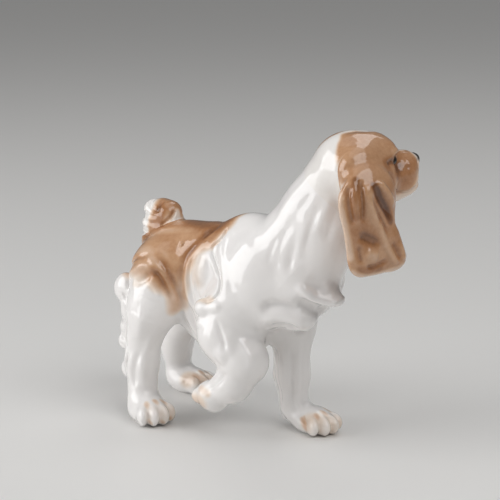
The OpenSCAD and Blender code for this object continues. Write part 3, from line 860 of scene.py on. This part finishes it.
def glazed_over(piece, sprayed_on, left_bare):
    """The glaze runs unbroken over the seams: skin takes the form's own slope, cut faces stay flat."""
    mesh = piece.data
    at = points_of(mesh) * 1000 - SHIFT
    way = slope(at, 0.35, CLAY, COMBING)
    way /= np.linalg.norm(way, axis=1)[:, None]
    cut = np.zeros(len(mesh.polygons), np.int32)
    mesh.attributes["cut"].data.foreach_get("value", cut)
    corner_point = np.empty(len(mesh.loops), np.int32)
    mesh.loops.foreach_get("vertex_index", corner_point)
    sides = np.empty(len(mesh.polygons), np.int32)
    mesh.polygons.foreach_get("loop_total", sides)
    facing = np.empty(len(mesh.polygons) * 3)
    mesh.polygons.foreach_get("normal", facing)
    on_cut = np.repeat(cut > 0, sides)
    normals = np.where(on_cut[:, None], np.repeat(facing.reshape(-1, 3), sides, axis=0), way[corner_point])
    mesh.polygons.foreach_set("use_smooth", cut == 0)
    mesh.polygons.foreach_set("material_index", (cut > 0).astype(np.int32))
    mesh.normals_split_custom_set(normals)
    mesh.attributes.remove(mesh.attributes["cut"])
    # height of the combed locks: it lightens the tan over the locks and darkens it in the furrows, partly as
    # painted shade
    relief = form(at, CLAY, []) - form(at, CLAY, COMBING)
    tan = laid_on(at, sprayed_on) * (1 - laid_on(at, left_bare))
    # deeper colour: a real deeper tone along the spine, tail and muzzle, and painted shade in the hollows of
    # the hip, behind the ribs, round the eye and in the ear's folds
    deep = laid_on(at, DEEP_TONE_AND_PAINTED_SHADE)
    black = np.maximum(laid_on(at, NOSE), laid_on(at, EYES))
    for name, values in (("tan", tan), ("deep", deep), ("relief", relief), ("black", black)):
        layer = mesh.attributes.new(name, "FLOAT", "POINT")
        layer.data.foreach_set("value", values.astype(np.float32))


# ---------------- materials

def linear(code):
    """An sRGB hex colour as the linear values that a socket takes."""
    parts = [int(code[i:i + 2], 16) / 255 for i in (0, 2, 4)]
    return tuple(c / 12.92 if c <= 0.04045 else ((c + 0.055) / 1.055) ** 2.4 for c in parts) + (1.0,)


def add(tree, kind, settings=None, links=None):
    """A node with its settings, and its inputs linked or set."""
    node = tree.nodes.new(kind)
    for name, value in (settings or {}).items():
        setattr(node, name, value)
    for name, value in (links or {}).items():
        socket = node.inputs[name]
        if isinstance(value, bpy.types.NodeSocket):
            tree.links.new(value, socket)
        else:
            socket.default_value = value
    return node


def shaded(node, *stops):
    """A ramp node's colours from its bare end to its deepest, each a place and an sRGB hex."""
    while len(node.color_ramp.elements) < len(stops):
        node.color_ramp.elements.new(0.5)
    for element, (place, code) in zip(node.color_ramp.elements, stops):
        element.position, element.color = place, linear(code)
    return node.outputs["Color"]


def new_material(name):
    """A material with its node tree and its shader."""
    material = bpy.data.materials.new(name)
    material.use_nodes = True
    return material, material.node_tree, material.node_tree.nodes["Principled BSDF"]


def glazed_porcelain(name, white, streaks):
    """Porcelain under a clear gloss glaze, with sprayed underglaze colour."""
    material, tree, shader = new_material(name)
    place = add(tree, "ShaderNodeTexCoord").outputs["Object"]
    tan, deep, relief, black = (add(tree, "ShaderNodeAttribute", {"attribute_name": layer}).outputs["Fac"]
                                for layer in ("tan", "deep", "relief", "black"))
    cloud = add(tree, "ShaderNodeTexNoise", {"noise_dimensions": "3D"},
                {"Vector": place, "Scale": 1 / 0.014, "Detail": 3.0, "Roughness": 0.55}).outputs["Fac"]
    grain = add(tree, "ShaderNodeTexNoise", {"noise_dimensions": "3D"},
                {"Vector": place, "Scale": 1 / 0.0016, "Detail": 2.0, "Roughness": 0.6}).outputs["Fac"]
    # density of the spray: clouds as wide as a pass of the airbrush, speckle as fine as its mist
    uneven = add(tree, "ShaderNodeMath", {"operation": "MULTIPLY_ADD"},
                 {0: cloud, 1: streaks, 2: 1 - streaks / 2}).outputs[0]
    misty = add(tree, "ShaderNodeMath", {"operation": "MULTIPLY_ADD"},
                {0: grain, 1: 0.24, 2: -0.12}).outputs[0]
    density = add(tree, "ShaderNodeMath", {"operation": "MULTIPLY"}, {0: tan, 1: uneven}).outputs[0]
    mist_in = add(tree, "ShaderNodeMath", {"operation": "MULTIPLY"}, {0: misty, 1: tan}).outputs[0]
    # thin over the raised locks, thick where it ran into the furrows; this is also painted shade, darkening
    # the furrows and lightening the locks
    raised = add(tree, "ShaderNodeMath", {"operation": "MULTIPLY"}, {0: relief, 1: tan}).outputs[0]
    thinned_and_shaded = add(tree, "ShaderNodeMath", {"operation": "MULTIPLY_ADD"},
                  {0: raised, 1: -0.16, 2: density}).outputs[0]
    misted = add(tree, "ShaderNodeMath", {"operation": "ADD"}, {0: thinned_and_shaded, 1: mist_in}).outputs[0]
    # adds the deeper tone of the spine, tail and muzzle and the painted shade in the hollows, round the eye
    # and in the ear's folds
    toned_and_shaded = add(tree, "ShaderNodeMath", {"operation": "MULTIPLY_ADD"},
                   {0: deep, 1: 0.35, 2: misted}).outputs[0]
    scaled = add(tree, "ShaderNodeMath", {"operation": "MULTIPLY", "use_clamp": True},
                 {0: toned_and_shaded, 1: 0.74}).outputs[0]
    colour = shaded(add(tree, "ShaderNodeValToRGB", links={"Fac": scaled}),
                    (0, white), (0.14, "ecdccd"), (0.34, "dcbda4"), (0.58, "c89d79"), (0.78, "aa774f"),
                    (1, "6b4329"))
    inked = add(tree, "ShaderNodeMix", {"data_type": "RGBA"},
                {"Factor": black, 6: colour, 7: linear("1a110d")})
    tree.links.new(inked.outputs[2], shader.inputs["Base Color"])
    # slight waves of the poured glaze, which bend the edges of what it reflects
    ripple = add(tree, "ShaderNodeTexNoise", {"noise_dimensions": "3D"},
                 {"Vector": place, "Scale": 1 / 0.006, "Detail": 1.0}).outputs["Fac"]
    waves = add(tree, "ShaderNodeBump", links={"Height": ripple, "Distance": 0.0002, "Strength": 0.35})
    tree.links.new(waves.outputs["Normal"], shader.inputs["Normal"])
    tree.links.new(waves.outputs["Normal"], shader.inputs["Coat Normal"])
    # dense white body below, which only scatters, and the glassy coat that gives the sharp reflections
    shader.inputs["Roughness"].default_value = 0.38
    shader.inputs["Specular IOR Level"].default_value = 0.2
    shader.inputs["Coat Weight"].default_value = 1.0
    shader.inputs["Coat Roughness"].default_value = 0.035
    shader.inputs["Coat IOR"].default_value = 1.54
    return material


def biscuit(name):
    """Bare fired body where the glaze was wiped off: chalky and dull."""
    material, tree, shader = new_material(name)
    place = add(tree, "ShaderNodeTexCoord").outputs["Object"]
    grit = add(tree, "ShaderNodeTexNoise", {"noise_dimensions": "3D"},
               {"Vector": place, "Scale": 1 / 0.0008, "Detail": 4.0}).outputs["Fac"]
    colour = shaded(add(tree, "ShaderNodeValToRGB", links={"Fac": grit}), (0.3, "cfc6ba"), (0.7, "e6e0d6"))
    tree.links.new(colour, shader.inputs["Base Color"])
    rough = add(tree, "ShaderNodeBump", links={"Height": grit, "Distance": 0.0001, "Strength": 0.5})
    tree.links.new(rough.outputs["Normal"], shader.inputs["Normal"])
    shader.inputs["Roughness"].default_value = 0.85
    return material


white_porcelain = glazed_porcelain("white glazed porcelain", "f3f0ee", 0.5)
tan_porcelain = glazed_porcelain("tan sprayed porcelain", "f1ede9", 0.35)
bare_body = biscuit("biscuit porcelain")
for name, piece in pieces.items():
    glazed_over(piece, *PAINT[name])
    sprayed = name in ("head", "ear_right", "ear_left", "tail")
    piece.data.materials.clear()
    piece.data.materials.append(tan_porcelain if sprayed else white_porcelain)
    piece.data.materials.append(bare_body)
    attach(piece, "root")
    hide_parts(name)


# ---------------- studio

FLOOR_HALF = 8   # metres
floor_tool = bmesh.new()
bmesh.ops.create_grid(floor_tool, x_segments=1, y_segments=1, size=FLOOR_HALF)
floor = as_object("floor", floor_tool)
pale, _, pale_shader = new_material("pale floor")
pale_shader.inputs["Base Color"].default_value = linear("e6e5e3")
pale_shader.inputs["Roughness"].default_value = 0.55
floor.data.materials.append(pale)


def aimed(thing, at, swing, rise, far):
    """Set this far off, in metres, looking at a place; degrees round from the figure's right and up."""
    a, b = radians(swing), radians(rise)
    out = Vector((np.sin(a) * np.cos(b), -np.cos(a) * np.cos(b), np.sin(b)))
    thing.location = at + out * far
    thing.rotation_euler = out.to_track_quat("Z", "Y").to_euler()


def softbox(name, swing, rise, far, size, power):
    """A rectangular lamp aimed at the middle of the figure; size in metres, power in watts."""
    lamp = bpy.data.lights.new(name, "AREA")
    lamp.shape = "RECTANGLE"
    lamp.size, lamp.size_y = size
    lamp.energy = power
    aimed(in_scene(name, lamp), Vector((0, 0, 0.07)), swing, rise, far)


softbox("window side", -42, 16, 1.2, (0.95, 1.15), 11.6)
softbox("front above", 80, 50, 1.2, (1.0, 0.7), 6.0)
softbox("far side", 195, 55, 1.3, (0.5, 0.5), 1.6)
# even light over the whole sweep of the floor
ceiling = bpy.data.lights.new("ceiling", "SUN")
ceiling.energy, ceiling.angle = 0.5, radians(60)
in_scene("ceiling", ceiling)
world = bpy.data.worlds.new("studio")
world.use_nodes = True
world.node_tree.nodes["Background"].inputs[0].default_value = linear("ffffff")
world.node_tree.nodes["Background"].inputs[1].default_value = 0.12
bpy.context.scene.world = world
bpy.context.scene.view_settings.view_transform = "Standard"

# 40 degrees round from the dog's right side towards its chest, and 12.5 degrees up
lens = bpy.data.cameras.new("camera")
lens.sensor_width = 36
lens.lens = 131
lens.clip_start = 0.01
camera = in_scene("camera", lens)
aimed(camera, Vector((SHIFT[0], 4 + SHIFT[1], 84)) * MM, swing=40, rise=12.5, far=0.85)
bpy.context.scene.camera = camera
